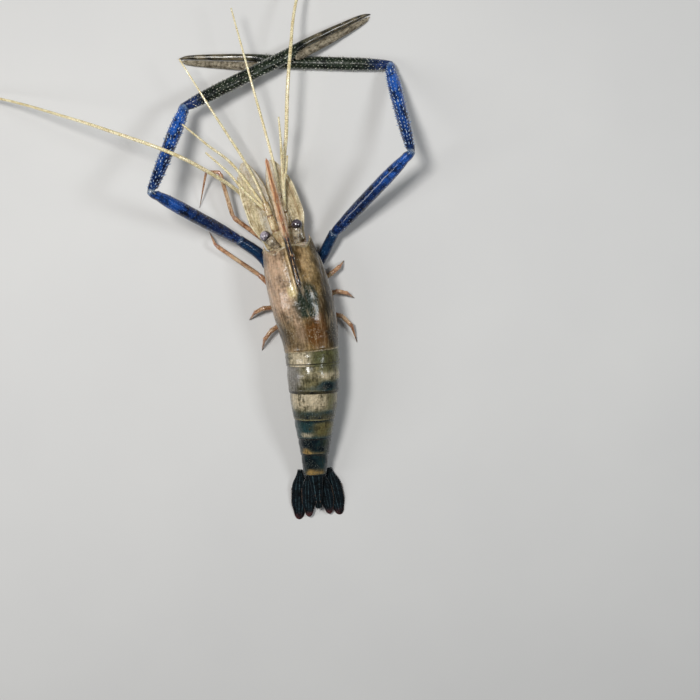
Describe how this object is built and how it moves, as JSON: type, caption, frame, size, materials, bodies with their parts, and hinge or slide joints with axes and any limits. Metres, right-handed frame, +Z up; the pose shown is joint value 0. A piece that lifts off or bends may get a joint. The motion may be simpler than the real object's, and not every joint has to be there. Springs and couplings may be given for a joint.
{
  "type": "giant river prawn",
  "caption": "Still, life-size freshwater prawn lying on its belly, with a toothed rostrum, long blue spined arms whose claws cross ahead of it, feelers and a fanned tail.",
  "frame": {"origin": "middle of the flat under the thorax, on the surface that the prawn lies on", "axes": "+Y forward towards the head, +X to the animal's right, +Z up"},
  "size_m": [0.2429, 0.3158, 0.0419],
  "materials": {
    "shell": "wet gloss",
    "rostrum": "wet gloss",
    "flesh": "wet gloss",
    "tail": "wet gloss",
    "arm": "wet gloss",
    "claw": "wet gloss",
    "felt": "matte felt of short hair",
    "leg": "wet gloss",
    "feeler": "satin",
    "stalk": "wet gloss",
    "scale": "satin",
    "eye": "high gloss"
  },
  "bodies": {
    "root": {"carapace": "shell", "rostrum": "rostrum", "thorax": "flesh", "pleon_1": "shell", "pleon_2": "shell", "pleon_3": "shell", "pleon_4": "tail", "pleon_5": "tail", "pleon_6": "tail", "telson": "tail", "uropod_outer_left": "tail", "uropod_inner_left": "tail", "eyestalk_left": "stalk", "eye_left": "eye", "antennal_scale_left": "scale", "antennule_left": "feeler", "antennule_left_flagellum": "feeler", "antenna_left": "feeler", "antenna_left_flagellum_near": "feeler", "antenna_left_flagellum_far": "feeler", "maxilliped_left": "leg", "first_leg_left": "leg", "third_leg_left": "leg", "fourth_leg_left": "leg", "fifth_leg_left": "leg", "arm_left_ischium": "arm", "arm_left_merus": "arm", "arm_left_carpus": "arm", "arm_left_palm": "claw", "arm_left_finger": "felt", "pleopod_1_left": "leg", "pleopod_2_left": "leg", "pleopod_3_left": "leg", "pleopod_4_left": "leg", "pleopod_5_left": "leg", "uropod_outer_right": "tail", "uropod_inner_right": "tail", "eyestalk_right": "stalk", "eye_right": "eye", "antennal_scale_right": "scale", "antennule_right": "feeler", "antennule_right_flagellum": "feeler", "antenna_right": "feeler", "antenna_right_flagellum_near": "feeler", "antenna_right_flagellum_far": "feeler", "maxilliped_right": "leg", "first_leg_right": "leg", "third_leg_right": "leg", "fourth_leg_right": "leg", "fifth_leg_right": "leg", "arm_right_ischium": "arm", "arm_right_merus": "arm", "arm_right_carpus": "arm", "arm_right_palm": "claw", "arm_right_finger": "felt", "pleopod_1_right": "leg", "pleopod_2_right": "leg", "pleopod_3_right": "leg", "pleopod_4_right": "leg", "pleopod_5_right": "leg"}
  },
  "joints": []
}
